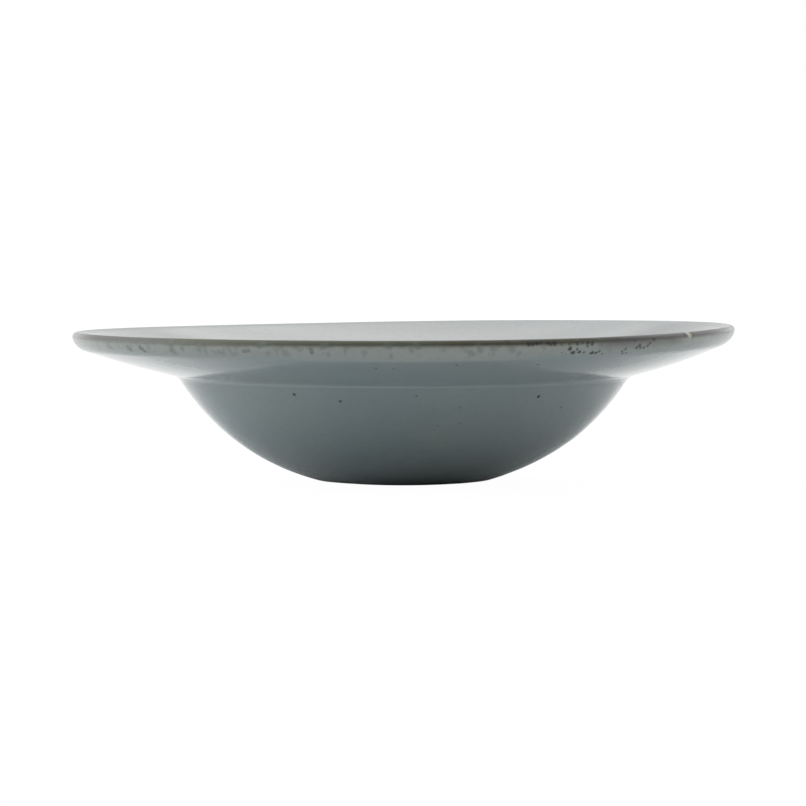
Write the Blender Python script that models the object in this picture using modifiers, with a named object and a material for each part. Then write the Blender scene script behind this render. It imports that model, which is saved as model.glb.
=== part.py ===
"""A wide-rimmed stoneware pasta plate: a turned clay body and the glaze coats laid on it.

Metres, +Z up. The origin is the middle of the foot ring, on the table.
"""

import math

import bpy
from mathutils import Vector

# Clay bowl, up to the shoulder where its outside meets the underside of the rim
BOWL_DIAMETER = 0.1870
BOWL_HEIGHT = 0.0446
BOWL_FOOT_ANGLE = math.radians(10.3)
SHOULDER_ROUND = 0.0030

# Clay rim, measured along its underside from the shoulder to the lip
RIM_WIDTH = 0.0425
RIM_RISE = 0.01305
RIM_FLARE = 0.0009
UNDER_FLARE = 0.0005
RIM_LEAN = 0.0014

# Face of the lip: its height, how far it leans in towards the underside, and the reach of its roundings
LIP_FACE = 0.0055
LIP_DRAFT = 0.0012
LIP_TOP_ROUND = 0.0021
LIP_UNDER_ROUND = 0.0033

# Thickness of the clay, and how far the roundings inside the well reach
WALL = 0.0044
FLOOR_THICKNESS = 0.0050
WELL_EDGE_ROUND = 0.0070
WELL_FLOOR_ROUND = 0.0130

# Foot ring that the plate stands on, and the recess inside it
FOOT_DIAMETER = 0.0590
FOOT_WIDTH = 0.0060
FOOT_RECESS = 0.0022
FOOT_OUTER_ROUND = 0.0022
FOOT_INNER_ROUND = 0.0008
RECESS_ROUND = 0.0010
RECESS_DRAFT = 0.0015

# Glaze coats: thickness, seat on the clay, and where each one stops
GLAZE = 0.0005
CLEARANCE = 0.0003
EDGE_BAND_ABOVE = 0.0045
EDGE_BAND_BELOW = 0.0060
FOOT_BARE_HEIGHT = 0.0014
RECESS_BARE_WIDTH = 0.0015

# Fineness of the turned shapes: steps round the axis, and points on each run and rounded corner
TURN_STEPS = 48
FLAT_POINTS = 1
RIM_POINTS = 4
WALL_POINTS = 6
CORNER_POINTS = 3
SHARP_ANGLE = math.radians(40.0)
MERGE = 0.00001

# The most of a run that the roundings at its two ends may take up
ROUNDED_SHARE = 0.98

# Colours of the fired surfaces, linear RGB
CLAY_COLOUR = (0.42, 0.30, 0.20, 1.0)
FACE_COLOUR = (0.40, 0.45, 0.46, 1.0)
BACK_COLOUR = (0.27, 0.33, 0.34, 1.0)
EDGE_COLOUR = (0.13, 0.12, 0.07, 1.0)
BASE_COLOUR = (0.30, 0.36, 0.37, 1.0)
CLAY_ROUGHNESS = 0.85
GLAZE_ROUGHNESS = 0.15
EDGE_ROUGHNESS = 0.25

COAT = CLEARANCE + GLAZE


def clear_scene():
    for old in list(bpy.data.objects):
        bpy.data.objects.remove(old, do_unlink=True)


def heading_vector(heading):
    return Vector((math.cos(heading), math.sin(heading)))


def outward(heading):
    """Normal of the section, which is travelled with the clay on its right."""
    return Vector((-math.sin(heading), math.cos(heading)))


class Run:
    """A circular arc from start to end, whose middle stands bulge to the right of its chord."""

    def __init__(self, start, end, bulge, points):
        self.start = Vector(start)
        self.end = Vector(end)
        self.points = points
        chord = self.end - self.start
        self.chord = chord.length
        self.turn = 4.0 * math.atan2(2.0 * bulge, self.chord)
        self.first_heading = math.atan2(chord.y, chord.x) - self.turn / 2.0

    def length(self):
        half = self.turn / 2.0
        return self.chord if half == 0.0 else self.chord * half / math.sin(half)

    def radius(self):
        return self.chord / (2.0 * math.sin(self.turn / 2.0))

    def at(self, share):
        """Place and heading at a share of the way along."""
        heading = self.first_heading + self.turn * share
        if self.turn == 0.0:
            return self.start.lerp(self.end, share), heading
        swing = outward(self.first_heading) - outward(heading)
        return self.start + self.radius() * swing, heading


def corner_curve(leave, arrive, points):
    """Places and headings on a smooth curve that rounds the corner between two (place, heading) pairs."""
    turn = math.remainder(arrive[1] - leave[1], math.tau)
    chord = (arrive[0] - leave[0]).length
    handle = chord * math.tan(turn / 4.0) / (1.5 * math.sin(turn / 2.0))
    knots = (leave[0], leave[0] + handle * heading_vector(leave[1]),
             arrive[0] - handle * heading_vector(arrive[1]), arrive[0])
    curve = []
    for step in range(1, points + 1):
        t = step / (points + 1)
        s = 1.0 - t
        place = (s ** 3 * knots[0] + 3 * s * s * t * knots[1]
                 + 3 * s * t * t * knots[2] + t ** 3 * knots[3])
        slope = (s * s * (knots[1] - knots[0]) + 2 * s * t * (knots[2] - knots[1])
                 + t * t * (knots[3] - knots[2]))
        curve.append((place, math.atan2(slope.y, slope.x)))
    return curve


def fitted_reaches(runs, reaches):
    """Reach of each corner's rounding, cut back where two roundings would meet on a short run."""
    fitted = [0.0] + reaches + [0.0]
    for index, run in enumerate(runs):
        taken = fitted[index] + fitted[index + 1]
        room = ROUNDED_SHARE * run.length()
        if taken > room:
            fitted[index] *= room / taken
            fitted[index + 1] *= room / taken
    return fitted


def rounded_line(runs, corners):
    """Join runs end to end, rounding the corner after each run but the last.

    Each corner is a name and the reach of its rounding. Returns the (place, heading) pairs, the
    length along the line at each of them, and the length along it at the middle of each corner.
    """
    reaches = fitted_reaches(runs, [reach for name, reach in corners])
    line = []
    middles = {}
    for index, run in enumerate(runs):
        first = reaches[index] / run.length()
        last = 1.0 - reaches[index + 1] / run.length()
        if line:
            middles[corners[index - 1][0]] = len(line) + CORNER_POINTS // 2
            line += corner_curve(line[-1], run.at(first), CORNER_POINTS)
        for step in range(run.points + 1):
            line.append(run.at(first + (last - first) * step / run.points))
    lengths = [0.0]
    for here, there in zip(line, line[1:]):
        lengths.append(lengths[-1] + (there[0] - here[0]).length)
    return line, lengths, {name: lengths[middle] for name, middle in middles.items()}


def offset_point(pair, distance):
    place, heading = pair
    return place + distance * outward(heading)


def between(line, lengths, begin, finish):
    """The stretch of a line from one length along it to another, with exact ends."""

    def pair_at(length):
        for index in range(len(line) - 1):
            if length <= lengths[index + 1] or index == len(line) - 2:
                span = lengths[index + 1] - lengths[index]
                share = (length - lengths[index]) / span
                bend = math.remainder(line[index + 1][1] - line[index][1], math.tau)
                return line[index][0].lerp(line[index + 1][0], share), line[index][1] + share * bend

    inner = [pair for pair, length in zip(line, lengths) if begin + MERGE < length < finish - MERGE]
    return [pair_at(begin)] + inner + [pair_at(finish)]


def length_at_height(line, lengths, begin, height):
    """How far along a line it first comes down to a height, after a length along it."""
    for index in range(len(line) - 1):
        upper, lower = line[index][0].y, line[index + 1][0].y
        if lengths[index] >= begin and upper > height >= lower:
            share = (upper - height) / (upper - lower)
            return lengths[index] + share * (lengths[index + 1] - lengths[index])


def clay_section():
    """Section of the clay, from the middle of the well, over the lip, to the middle of the base."""
    shoulder = Vector((BOWL_DIAMETER / 2.0, BOWL_HEIGHT))
    lip_under = shoulder + Vector((RIM_WIDTH, RIM_RISE))
    lip_top = lip_under + Vector((LIP_DRAFT, LIP_FACE))
    foot_outer = Vector((FOOT_DIAMETER / 2.0, 0.0))
    foot_inner = foot_outer - Vector((FOOT_WIDTH, 0.0))
    recess = foot_inner + Vector((-RECESS_DRAFT, FOOT_RECESS))

    bowl_side = shoulder - foot_outer
    bowl_rise = math.atan2(bowl_side.y, bowl_side.x)
    bowl_bulge = bowl_side.length / 2.0 * math.tan((bowl_rise - BOWL_FOOT_ANGLE) / 2.0)
    underside = Run(lip_under, shoulder, -UNDER_FLARE, RIM_POINTS)
    outside = Run(shoulder, foot_outer, -bowl_bulge, WALL_POINTS)

    # The well wall is parallel to the outside of the bowl, one wall in
    rim_normal = outward(underside.at(1.0)[1])
    bowl_normal = outward(outside.at(0.0)[1])
    well_edge = shoulder - (rim_normal + bowl_normal) * WALL / (1.0 + rim_normal.dot(bowl_normal))
    centre = shoulder - abs(outside.radius()) * bowl_normal
    well_radius = abs(outside.radius()) - WALL
    floor_height = FOOT_RECESS + FLOOR_THICKNESS
    floor_reach = math.sqrt(well_radius ** 2 - (centre.y - floor_height) ** 2)
    floor_edge = Vector((centre.x + floor_reach, floor_height))
    half_chord = (well_edge - floor_edge).length / 2.0
    well_bulge = well_radius - math.sqrt(well_radius ** 2 - half_chord ** 2)

    runs = [
        Run((0.0, floor_height), floor_edge, 0.0, FLAT_POINTS),
        Run(floor_edge, well_edge, well_bulge, WALL_POINTS),
        Run(well_edge, lip_top, RIM_FLARE, RIM_POINTS),
        Run(lip_top, lip_under, 0.0, FLAT_POINTS),
        underside,
        outside,
        Run(foot_outer, foot_inner, 0.0, FLAT_POINTS),
        Run(foot_inner, recess, 0.0, FLAT_POINTS),
        Run(recess, (0.0, FOOT_RECESS), 0.0, FLAT_POINTS),
    ]
    corners = [
        ("well_floor", WELL_FLOOR_ROUND),
        ("well_edge", WELL_EDGE_ROUND),
        ("lip_top", LIP_TOP_ROUND),
        ("lip_under", LIP_UNDER_ROUND),
        ("shoulder", SHOULDER_ROUND),
        ("foot_outer", FOOT_OUTER_ROUND),
        ("foot_inner", FOOT_INNER_ROUND),
        ("recess", RECESS_ROUND),
    ]
    return rounded_line(runs, corners)


def lean_rim(mesh):
    """Tip the rim about the Y axis, from nothing at the shoulder to RIM_LEAN at the lip."""
    for vertex in mesh.vertices:
        radius = math.hypot(vertex.co.x, vertex.co.y)
        reach = max(0.0, radius - BOWL_DIAMETER / 2.0) / RIM_WIDTH
        if reach > 0.0:
            vertex.co.z += RIM_LEAN * reach * vertex.co.x / radius


def fired_material(name, colour, roughness):
    material = bpy.data.materials.new(name)
    material.use_nodes = True
    shader = material.node_tree.nodes["Principled BSDF"]
    shader.inputs["Base Color"].default_value = colour
    shader.inputs["Roughness"].default_value = roughness
    shader.inputs["Metallic"].default_value = 0.0
    material.diffuse_color = colour
    return material


def turned(name, outline, ring, material):
    """Turn an outline, given clockwise in (radius, height), about Z. A ring's outline is closed."""
    mesh = bpy.data.meshes.new(name)
    count = len(outline)
    edges = [(index, index + 1) for index in range(count - 1)]
    if ring:
        edges.append((count - 1, 0))
    mesh.from_pydata([(point.x, 0.0, point.y) for point in outline], edges, [])
    profile = bpy.data.objects.new(name + "_profile", mesh)
    bpy.context.scene.collection.objects.link(profile)
    screw = profile.modifiers.new("Turn", "SCREW")
    screw.axis = "Z"
    screw.steps = TURN_STEPS
    screw.render_steps = TURN_STEPS
    screw.use_merge_vertices = True
    screw.merge_threshold = MERGE
    screw.use_smooth_shade = True

    depsgraph = bpy.context.evaluated_depsgraph_get()
    solid = bpy.data.meshes.new_from_object(profile.evaluated_get(depsgraph))
    bpy.data.objects.remove(profile, do_unlink=True)
    solid.name = name
    lean_rim(solid)
    solid.shade_smooth()
    solid.set_sharp_from_angle(angle=SHARP_ANGLE)
    solid.materials.clear()
    solid.materials.append(material)
    return bpy.data.objects.new(name, solid)


def on_axis(point):
    return Vector((0.0, point.y))


def coat(name, stretch, material, from_axis=False, to_axis=False):
    """A glaze coat over a stretch of the clay's section, which may begin or end on the axis."""
    outside = [offset_point(pair, COAT) for pair in stretch]
    inside = [offset_point(pair, CLEARANCE) for pair in reversed(stretch)]
    if from_axis:
        outside[0] = on_axis(outside[0])
        inside[-1] = on_axis(inside[-1])
    if to_axis:
        outside[-1] = on_axis(outside[-1])
        inside[0] = on_axis(inside[0])
        return turned(name, inside + outside, False, material)
    return turned(name, outside + inside, not from_axis, material)


def main():
    clear_scene()
    line, lengths, corners = clay_section()
    band_begin = corners["lip_top"] - EDGE_BAND_ABOVE
    band_finish = corners["lip_under"] + EDGE_BAND_BELOW
    back_finish = length_at_height(line, lengths, band_finish, FOOT_BARE_HEIGHT)
    base_begin = corners["recess"] + RECESS_BARE_WIDTH

    clay = fired_material("bare_stoneware", CLAY_COLOUR, CLAY_ROUGHNESS)
    body = turned("clay_body", [place for place, heading in line], False, clay)

    face = fired_material("face_glaze", FACE_COLOUR, GLAZE_ROUGHNESS)
    face_stretch = between(line, lengths, 0.0, band_begin - CLEARANCE)
    edge = fired_material("edge_glaze", EDGE_COLOUR, EDGE_ROUGHNESS)
    edge_stretch = between(line, lengths, band_begin, band_finish)
    back = fired_material("back_glaze", BACK_COLOUR, GLAZE_ROUGHNESS)
    back_stretch = between(line, lengths, band_finish + CLEARANCE, back_finish)
    base = fired_material("base_glaze", BASE_COLOUR, GLAZE_ROUGHNESS)
    base_stretch = between(line, lengths, base_begin, lengths[-1])
    coats = [
        coat("face_glaze", face_stretch, face, from_axis=True),
        coat("edge_glaze", edge_stretch, edge),
        coat("back_glaze", back_stretch, back),
        coat("base_glaze", base_stretch, base, to_axis=True),
    ]

    plate = bpy.data.collections.new("pasta_plate")
    bpy.context.scene.collection.children.link(plate)
    plate.objects.link(body)
    for skin in coats:
        plate.objects.link(skin)
        skin.parent = body


main()
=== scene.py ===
"""Looks of the pasta plate: finely turned glaze coats and clay, glazed stoneware finishes, soft studio."""
import math

import bpy
import numpy as np
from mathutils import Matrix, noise


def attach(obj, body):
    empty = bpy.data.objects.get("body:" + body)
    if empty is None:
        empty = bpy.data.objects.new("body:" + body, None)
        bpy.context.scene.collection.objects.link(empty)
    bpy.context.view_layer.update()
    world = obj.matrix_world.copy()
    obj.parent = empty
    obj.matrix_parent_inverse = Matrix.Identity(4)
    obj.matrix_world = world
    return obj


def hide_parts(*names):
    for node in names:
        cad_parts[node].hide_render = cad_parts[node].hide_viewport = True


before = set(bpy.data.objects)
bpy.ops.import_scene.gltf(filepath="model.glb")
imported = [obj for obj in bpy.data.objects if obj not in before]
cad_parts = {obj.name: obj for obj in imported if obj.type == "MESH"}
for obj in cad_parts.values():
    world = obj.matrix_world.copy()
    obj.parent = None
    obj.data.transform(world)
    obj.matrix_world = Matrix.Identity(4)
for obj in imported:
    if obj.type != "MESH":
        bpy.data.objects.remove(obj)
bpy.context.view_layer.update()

# Section of the clay, in metres, with the sizes that the solids have
BOWL_DIAMETER = 0.1870
BOWL_HEIGHT = 0.0446
BOWL_FOOT_ANGLE = math.radians(10.3)
SHOULDER_ROUND = 0.0030
RIM_WIDTH = 0.0425
RIM_RISE = 0.01305
RIM_FLARE = 0.0009
UNDER_FLARE = 0.0005
LIP_FACE = 0.0055
LIP_DRAFT = 0.0012
LIP_TOP_ROUND = 0.0021
LIP_UNDER_ROUND = 0.0033
WALL = 0.0044
FLOOR_THICKNESS = 0.0050
WELL_EDGE_ROUND = 0.0070
WELL_FLOOR_ROUND = 0.0130
FOOT_DIAMETER = 0.0590
FOOT_WIDTH = 0.0060
FOOT_RECESS = 0.0022
FOOT_OUTER_ROUND = 0.0022
FOOT_INNER_ROUND = 0.0008
RECESS_ROUND = 0.0010
RECESS_DRAFT = 0.0015
CORNER_POINTS = 24
ARC_POINTS = 60

# Glaze coats: the faces of a coat stand this far off the clay, and its free edges roll down to it
COAT_OUTSIDE = 0.0008
COAT_INSIDE = 0.0001
COAT_EDGE = 0.00003
COAT_ROLL = 0.0009
EDGE_BAND_ABOVE = 0.0045
EDGE_BAND_BELOW = 0.0060
FOOT_BARE_HEIGHT = 0.0014
RECESS_BARE_WIDTH = 0.0015
FOOT_LINE_WAVER = 0.0007
FOOT_LINE_REACH = 0.0060
FOOT_LINE_WAVES = 0.016

# Fineness of the turned meshes: steps round the axis, then most distance and turn between two rows
STEPS_ROUND = 576
LIP_STEPS_ROUND = 1152
CORE_STEPS_ROUND = 288
SHOWN_ROWS = (0.0015, math.radians(4.0))
LIP_ROWS = (0.0004, math.radians(5.0))
ROLL_ROWS = (0.00012, math.radians(5.0))
FOOT_ROWS = (0.0004, math.radians(5.0))
HIDDEN_ROWS = (0.004, math.radians(10.0))
NEARLY = 1e-6

# Hand-made shape of the rim: its lift at the lip, as waves round the axis (count, cosine and sine share)
RIM_WAVES = (
    (1, 0.00140, -0.00010),
    (2, 0.00048, 0.00034),
    (3, 0.00007, -0.00006),
    (4, 0.00007, -0.00007),
)

# Underside of the rim: its sag, at all sides, on the right and at the ends, and a shelf near the shoulder
UNDER_SAG = 0.00010
UNDER_SAG_SIDE = 0.00025
UNDER_SAG_ENDS = 0.00030
UNDER_SHELF = -0.00030
UNDER_SHELF_PEAK = 12.2
UNDER_SHELF_FALL = 4

# Lip: fuller under the front, and cut back elsewhere, between runs below the edge
LIP_FRONT_FULLNESS = 0.00100
LIP_FRONT_NARROWNESS = 14
LIP_FULL_FROM = 0.0020
LIP_FULLEST = 0.0075
LIP_FULL_TO = 0.0300
LIP_CUT = 0.00020
LIP_CUT_FROM = 0.0015
LIP_CUT_MOST = 0.0048
LIP_CUT_TO = 0.0090

# Low part of the bowl: pushed to the left and slimmer, most at one height and not at all from another
BOWL_SHIFT = 0.00060
BOWL_SLIM = 0.00070
BOWL_SHIFT_TOP = 0.018
BOWL_SHIFT_FOOT = 0.004

# A small chip in the lip's band: its turn from the front to the right, its run below the edge, its size
CHIP_TURN = 55.4
CHIP_RUN = 0.0
CHIP_WIDTH = 0.0042
CHIP_HEIGHT = 0.0030
CHIP_DEPTH = 0.0006

# Unevenness of the coats, and the angle from which their edges are sharp
WAVE_HEIGHT = 0.00006
WAVE_LENGTH = 0.045
RIPPLE_HEIGHT = 0.000012
RIPPLE_LENGTH = 0.010
SHARP_ANGLE = math.radians(50.0)

# Layout of the maps that the finishes can be baked to: rings about the middle and two small corner discs
MAP_MIDDLE = (0.5, 0.5)
MAP_RADIUS = 0.48
MAP_CORNERS = ((0.07, 0.07), (0.93, 0.07))
MAP_CORNER_RINGS = (0.004, 0.06)
LIP_MAP_RADIUS = 0.34
FOOT_MAP_RADIUS = 0.12
LEAST_RING = 1e-5

# A millimetre in metres, and a radian in degrees
MILLI = 0.001
DEGREES = math.degrees(1.0)

# Colours of the finishes, linear
GLAZE_DEEP = (0.219, 0.276, 0.288, 1.0)
GLAZE = (0.252, 0.299, 0.302, 1.0)
GLAZE_FACE = (0.402, 0.425, 0.414, 1.0)
# Painted shade: the eating side turns to this colour towards the right, evening out the stronger light from
# the left
FACE_PAINTED_SHADE = (0.238, 0.257, 0.258, 1.0)
GLAZE_LIP = (0.262, 0.284, 0.257, 1.0)
# Painted highlight: the paler colour of a line along the crease where the rim meets the bowl
CREASE_HIGHLIGHT = (0.285, 0.345, 0.351, 1.0)
DRIP = (0.115, 0.140, 0.132, 1.0)
OLIVE = (0.080, 0.088, 0.048, 1.0)
OLIVE_DARK = (0.050, 0.047, 0.012, 1.0)
GREY_DARK = (0.042, 0.044, 0.041, 1.0)
LINE = (0.075, 0.078, 0.072, 1.0)
IRON = (0.017, 0.018, 0.015, 1.0)
CHIP_CLAY = (0.470, 0.460, 0.390, 1.0)
CLAY_DARK = (0.250, 0.175, 0.115, 1.0)
CLAY_PALE = (0.430, 0.325, 0.230, 1.0)
CLAY_GRIT = (0.090, 0.060, 0.040, 1.0)

# Glaze: sizes of its patterns, where its colours meet as runs below the edge, and its gloss
NOISE_SPREAD = (0.3, 0.7)
CLOUD_SIZE = 0.055
MOTTLE_SIZE = 0.0028
MOTTLE = (0.45, 0.75, 0.0, 0.10)
FACE_BORDER = (-0.006, 0.001)
LIP_COLOUR_BEGINS = (-0.004, 0.0)
LIP_COLOUR_ENDS = (-0.002, 0.0105)
# Painted highlight along the crease: full up to the first distance from it, gone at the second
CREASE_HIGHLIGHT_BAND = (0.0002, 0.0014)
SKIN_SIZE = 0.0018
SKIN_HEIGHT = 0.0000025
GLOSS_SIZE = 0.018
GLOSS_ROUGHNESS = (0.040, 0.060)
GLAZE_IOR = 1.58

# Marks: soft borders as shares of the width, beads that strokes break into, least size and core of dots
MARK_SOFT = (0.2, 0.6)
STROKE_SOFT = (0.3, 0.8)
BEAD_SIZE = 0.0012
BEADS = (0.32, 0.50, 0.55, 1.0)
LEAST_DOT = 0.4
DOT_CORE = 0.4

# Noise that makes marks uneven: the size of its waves, and how far it moves them
SPECK_SHAKE = (0.0009, 0.0005)
MARK_SHAKE = (0.0009, 0.0006)
EDGE_SHAKE = (0.0011, 0.0011)

# Fine iron specks all over
SPECK_SPACING = 0.010
SPECK_WIDTH = 0.0009
SPECK_SHARE = 0.45
SPECK_DARKNESS = 0.6

# Dark edge: borders as runs below it, shares of the radius towards the front, and turns with soft ends
EDGE_TOP = (-0.0013, -0.0008)
EDGE_LINE = (-0.0010, 0.0009, 0.0004)
EDGE_LINE_FRONT = (0.08, 0.50)
EDGE_LINE_DARKNESS = 0.85
EDGE_DULLNESS = 0.45
RAGGED = 0.0016
OLIVE_RAGS = 0.0035
OLIVE_STRETCH = 1.6
OLIVE_FADE = (-0.0004, 0.0022)
OLIVE_FADE_POWER = 1.2
OLIVE_FRONT = (0.68, 0.80)
OLIVE_DARK_TURNS = (6.0, 31.0, 5.0)
GREY_DARK_TURNS = (34.0, 52.0, 4.0)
GREY_RAGS = 0.004
# Painted shade: a thin darker band over the rounded top of the lip, all round
THIN_PAINTED_SHADE = (0.0, 0.0022, 0.5, 0.0)
GREY_BROAD = (0.0005, 0.0048, 0.75, 0.0)
GREY_BROAD_TURNS = (33.0, 53.0, 3.0)
DRIP_SIZE = 0.0030
DRIP_STRETCH = 1.3
DRIP_SPREAD = (0.54, 0.68)
DRIP_BAND = (0.0006, 0.0050, 0.0010)
DRIP_DARKNESS = 0.4
LIP_SOFTNESS = (0.004, 0.011, 0.14, 0.0)
CHIP_DULLNESS = 0.5

# Edge at the back, where it is dark in patches and has scattered crystals
BACK_PATCH_SIZE = 0.08
BACK_PATCHES = (0.45, 0.55)
BACK_FADE = (0.0, 0.05)
CRYSTAL_PATCH_SIZE = 0.022
CRYSTAL_PATCHES = (0.60, 0.66)
CRYSTAL_FADE = (-0.02, 0.02)
CRYSTAL_BAND = (0.0003, 0.004, 0.0005)
CRYSTAL_SPACING = 0.0012
CRYSTAL_WIDTH = 0.0017
CRYSTAL_SHARE = 0.65

# Bare clay: its tones, its grit, and the relief that grains and the trimming tool's rings give it
CLAY_TONE_SIZE = 0.004
GRIT_SPACING = 0.0011
GRIT_WIDTH = 0.0005
GRIT_SHARE = 0.5
GRAIN_SIZE = 0.0004
RING_STEP = 0.0009
RING_SHARE = 0.25
CLAY_RELIEF = 0.00008
CLAY_ROUGHNESS = 0.85

# Iron specks that stand out: turn (degrees from the front to the right), run below the edge, width, darkness
SPECKS = (
    (-28.0, 0.0533, 0.0017, 0.95),
    (36.1, 0.0547, 0.0018, 0.95),
    (-16.0, 0.0562, 0.0015, 0.75),
    (46.6, 0.0609, 0.0014, 0.65),
    (3.2, 0.0535, 0.0012, 0.50),
    (14.7, 0.0592, 0.0013, 0.40),
    (15.8, 0.0679, 0.0013, 0.40),
    (9.5, 0.0690, 0.0012, 0.30),
)

# Dark drips on the lip, as strokes from turn and run to turn and run (degrees, mm), width (mm), darkness
DRIPS = (
    (-58.0, 1.3, -58.6, 2.9, 1.6, 0.47),
    (-58.6, 2.9, -57.4, 3.7, 1.6, 0.53),
    (-52.1, 3.0, -51.9, 3.4, 2.6, 0.90),
    (-48.6, 2.8, -48.0, 4.0, 2.1, 1.00),
    (-40.8, 0.8, -40.8, 4.8, 2.5, 0.47),
    (-38.2, 0.9, -38.5, 2.5, 2.1, 0.42),
    (-34.6, 1.0, -35.0, 3.2, 2.1, 0.42),
    (-31.2, 3.6, -30.7, 4.1, 1.7, 0.47),
    (-29.1, 2.6, -28.8, 4.0, 2.0, 0.32),
    (-26.5, 3.2, -25.5, 2.9, 1.4, 0.68),
    (-23.5, 1.0, -22.7, 0.5, 2.1, 0.79),
    (-19.0, 2.9, -18.7, 4.0, 1.7, 0.26),
    (-14.8, 2.0, -14.7, 3.2, 1.3, 1.00),
    (-12.9, 1.0, -12.4, 0.9, 2.3, 0.68),
    (-2.7, 0.7, -2.3, 0.8, 2.3, 0.68),
    (1.0, 1.3, 1.3, 2.5, 1.6, 0.47),
    (1.8, 0.7, 2.3, 1.0, 2.3, 0.68),
    (5.9, 1.7, 6.5, 2.2, 1.7, 0.32),
    (9.9, 2.5, 11.3, 3.8, 1.4, 0.37),
    (11.8, 0.9, 12.3, 2.5, 2.0, 0.53),
    (13.9, 1.3, 14.2, 2.0, 1.7, 0.58),
    (17.2, 2.0, 17.5, 3.0, 2.0, 0.42),
)

# Dark dashes along the edge, given the same way
EDGE_DASHES = (
    (16.2, -0.3, 16.8, -0.1, 1.2, 1.00),
    (19.2, -0.2, 21.6, 0.0, 0.9, 0.85),
    (22.0, 0.0, 23.2, 0.1, 1.0, 0.90),
    (23.6, -0.1, 25.4, 0.0, 0.9, 0.85),
    (26.8, -0.2, 28.6, -0.1, 0.8, 0.75),
    (29.4, 0.0, 32.6, 0.1, 0.9, 0.85),
    (33.4, -0.2, 37.0, -0.1, 1.0, 0.85),
)

# Small marks under the rim, given the same way
RIM_MARKS = (
    (-4.8, 15.8, -4.8, 18.6, 0.8, 0.80),
    (-1.9, 17.0, -1.7, 19.2, 0.8, 0.60),
    (9.0, 11.6, 9.2, 13.2, 0.9, 0.50),
    (23.6, 14.0, 24.6, 15.6, 0.9, 0.55),
)

# Dark crystals on the lip, as dots: turn (degrees), run below the edge and width (mm), darkness
CRYSTALS = (
    (20.2, 0.7, 2.2, 1.00),
    (20.8, 0.8, 1.8, 1.00),
    (21.6, 0.6, 2.2, 1.00),
    (22.3, 0.6, 1.4, 0.80),
    (23.5, 0.6, 2.0, 1.00),
    (24.0, 0.9, 1.6, 0.95),
    (24.7, 0.7, 2.3, 1.00),
    (26.0, 1.0, 1.1, 0.60),
    (27.4, 1.0, 1.4, 0.70),
    (28.8, 0.9, 1.6, 0.85),
    (29.8, 0.8, 1.5, 0.75),
    (30.8, 0.9, 2.0, 0.95),
    (31.7, 1.0, 2.2, 1.00),
    (30.8, 1.9, 1.4, 0.85),
    (27.6, 2.6, 2.2, 1.00),
    (29.0, 3.0, 1.6, 0.80),
    (26.3, 4.1, 1.2, 0.50),
    (27.1, 4.8, 1.1, 0.40),
    (28.4, 4.4, 2.3, 1.00),
    (29.6, 4.2, 2.0, 0.95),
    (30.5, 4.5, 1.6, 0.70),
    (32.2, 4.9, 2.3, 1.00),
    (33.0, 4.9, 1.8, 0.90),
    (33.5, 4.4, 1.5, 0.75),
    (34.5, 5.6, 1.2, 0.65),
    (38.4, 4.8, 1.5, 0.75),
    (38.9, 3.9, 1.5, 0.75),
    (38.9, 6.0, 1.5, 0.75),
    (39.7, 5.9, 1.4, 0.70),
    (40.5, 0.8, 1.4, 0.70),
    (41.3, 3.5, 1.8, 0.85),
    (41.8, 2.6, 2.0, 0.90),
    (42.2, 3.6, 1.6, 0.85),
    (43.1, 3.8, 1.5, 0.85),
    (43.8, 2.9, 1.6, 0.90),
    (44.3, 1.9, 1.5, 0.80),
    (45.0, 0.8, 1.9, 1.00),
    (53.5, 0.4, 1.8, 0.84),
)

# Soft lights in the sky, in degrees from behind to the right: middle, half width, elevations, strength
SOFT_LIGHTS = (
    (0.0, 60.0, -10.0, 4.0, 0.95),
    (0.0, 22.0, 4.0, 25.0, 0.90),
    (0.0, 22.0, 25.0, 34.0, 1.35),
    (0.0, 22.0, 34.0, 44.0, 1.64),
    (0.0, 22.0, 44.0, 60.0, 2.0),
    (-42.0, 20.0, 4.0, 60.0, 1.45),
    (42.0, 20.0, 4.0, 60.0, 1.75),
    (-90.0, 30.0, -10.0, 15.0, 2.0),
    (-90.0, 30.0, 15.0, 60.0, 2.5),
    (90.0, 30.0, -10.0, 15.0, 0.60),
    (90.0, 30.0, 15.0, 60.0, 0.82),
    (180.0, 60.0, -10.0, 40.0, 0.05),
    (180.0, 60.0, 40.0, 60.0, 0.5),
    (90.0, 70.0, 60.0, 85.0, 0.55),
    (0.0, 180.0, 60.0, 100.0, 0.6),
)
ALL_ROUND = 180.0
LIGHT_SOFT_SIDES = 10.0
LIGHT_SOFT_ENDS = 3.0

# White floor, and what the camera sees of it
FLOOR_RADIUS = 6.0
FLOOR_SIDES = 128
FLOOR_WHITE = (0.94, 0.94, 0.94, 1.0)
FLOOR_ROUGHNESS = 0.9
FLOOR_GLOW = 1.05
FLOOR_GLOW_SHARE = 0.93

# Camera that the photograph was taken with, as its outline shows it
CAMERA_PLACE = (-0.0002, -1.400, 0.10492)
CAMERA_PITCH = math.radians(2.967)
FOCAL_PIXELS = 3355.7
PHOTO_PIXELS = 806
SENSOR_WIDTH = 36.0


def outward(heading):
    """Normal of the section, which is travelled with the clay on its right."""
    return np.array((-math.sin(heading), math.cos(heading)))


def along(heading):
    return np.array((math.cos(heading), math.sin(heading)))


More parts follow.
